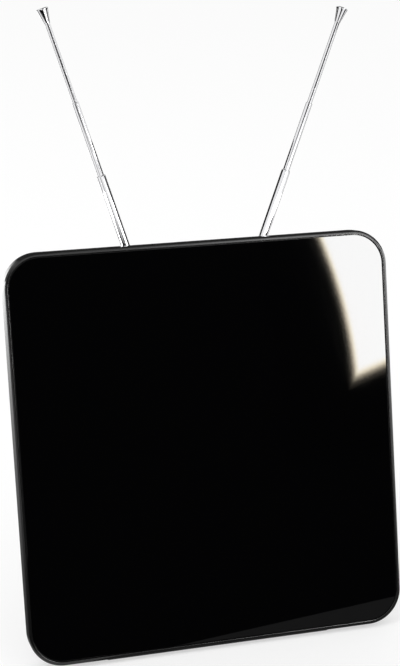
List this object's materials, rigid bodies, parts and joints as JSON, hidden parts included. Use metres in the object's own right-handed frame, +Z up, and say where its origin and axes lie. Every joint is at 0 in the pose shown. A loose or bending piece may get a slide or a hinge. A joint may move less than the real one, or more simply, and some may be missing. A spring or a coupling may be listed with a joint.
{
  "type": "indoor tv antenna",
  "caption": "Leaning black flat-panel indoor television antenna with telescopic chrome rods, a fold-out rear stand and a screw-on coaxial socket.",
  "frame": {"origin": "middle of the foot strip's underside, on the floor", "axes": "+X to the viewer's right, +Y from the face to the back along the floor, +Z up"},
  "size_m": [0.2, 0.0913, 0.3213],
  "materials": {
    "gloss_black": "gloss",
    "frame_black": "satin",
    "cover_black": "fine texture",
    "rubber_black": "matte",
    "steel": "plated",
    "chrome": "polished",
    "brass": "plain",
    "nickel": "nickel plate",
    "tin": "tin plate",
    "ferrite": "ground",
    "board": "lacquered",
    "white_plastic": "moulded",
    "lead_sheath": "moulded"
  },
  "bodies": {
    "housing": {"front_panel": "gloss_black", "front_frame": "frame_black", "rear_cover": "cover_black", "case_screws": "steel", "foot_strip": "rubber_black", "stand_pin": "steel", "element_board": "board", "board_screws": "steel", "shield_can": "tin", "balun_core": "ferrite", "coax_socket": "nickel", "socket_washer": "nickel", "socket_nut": "nickel", "socket_insulator": "white_plastic", "socket_contact": "brass", "left_solder_lug": "brass", "left_lead": "lead_sheath", "right_solder_lug": "brass", "right_lead": "lead_sheath"},
    "stand": {"stand_leg": "cover_black", "stand_toe": "rubber_black"},
    "left_swivel": {"left_swivel_stud": "chrome", "left_swivel_washer": "steel", "left_swivel_screw": "steel", "left_tilt_rivet": "chrome"},
    "left_base": {"left_knuckle": "chrome", "left_base_tube": "chrome"},
    "left_middle": {"left_middle_tube": "chrome", "left_middle_sleeve": "brass"},
    "left_inner": {"left_inner_rod": "chrome", "left_inner_sleeve": "brass", "left_tip": "chrome"},
    "right_swivel": {"right_swivel_stud": "chrome", "right_swivel_washer": "steel", "right_swivel_screw": "steel", "right_tilt_rivet": "chrome"},
    "right_base": {"right_knuckle": "chrome", "right_base_tube": "chrome"},
    "right_middle": {"right_middle_tube": "chrome", "right_middle_sleeve": "brass"},
    "right_inner": {"right_inner_rod": "chrome", "right_inner_sleeve": "brass", "right_tip": "chrome"}
  },
  "joints": [
    {"name": "stand_fold", "type": "hinge", "parent": "housing", "child": "stand", "pos_m": [0, 0.03268, 0.12509], "axis": [-1, 0, 0], "range_deg": [0, 26]},
    {"name": "left_swivel", "type": "hinge", "parent": "housing", "child": "left_swivel", "pos_m": [-0.0254, 0.04931, 0.17259], "axis": [0, -0.9751, 0.2215], "range_deg": [-16.1, 83.9]},
    {"name": "left_tilt", "type": "hinge", "parent": "left_swivel", "child": "left_base", "pos_m": [-0.0254, 0.04931, 0.17259], "axis": [-0.9608, -0.0614, -0.2704], "range_deg": [0, 90]},
    {"name": "left_middle_slide", "type": "slide", "parent": "left_base", "child": "left_middle", "axis": [-0.2773, 0.2129, 0.9369], "range_m": [-0.0376, 0]},
    {"name": "left_inner_slide", "type": "slide", "parent": "left_middle", "child": "left_inner", "axis": [-0.2773, 0.2129, 0.9369], "range_m": [-0.0406, 0.0034]},
    {"name": "right_swivel", "type": "hinge", "parent": "housing", "child": "right_swivel", "pos_m": [0.0254, 0.04931, 0.17259], "axis": [0, 0.9751, -0.2215], "range_deg": [-23.1, 76.9]},
    {"name": "right_tilt", "type": "hinge", "parent": "right_swivel", "child": "right_base", "pos_m": [0.0254, 0.04931, 0.17259], "axis": [-0.9198, 0.0869, 0.3826], "range_deg": [0, 90]},
    {"name": "right_middle_slide", "type": "slide", "parent": "right_base", "child": "right_middle", "axis": [0.3923, 0.2038, 0.897], "range_m": [-0.0359, 0.0017]},
    {"name": "right_inner_slide", "type": "slide", "parent": "right_middle", "child": "right_inner", "axis": [0.3923, 0.2038, 0.897], "range_m": [-0.044, 0]}
  ]
}
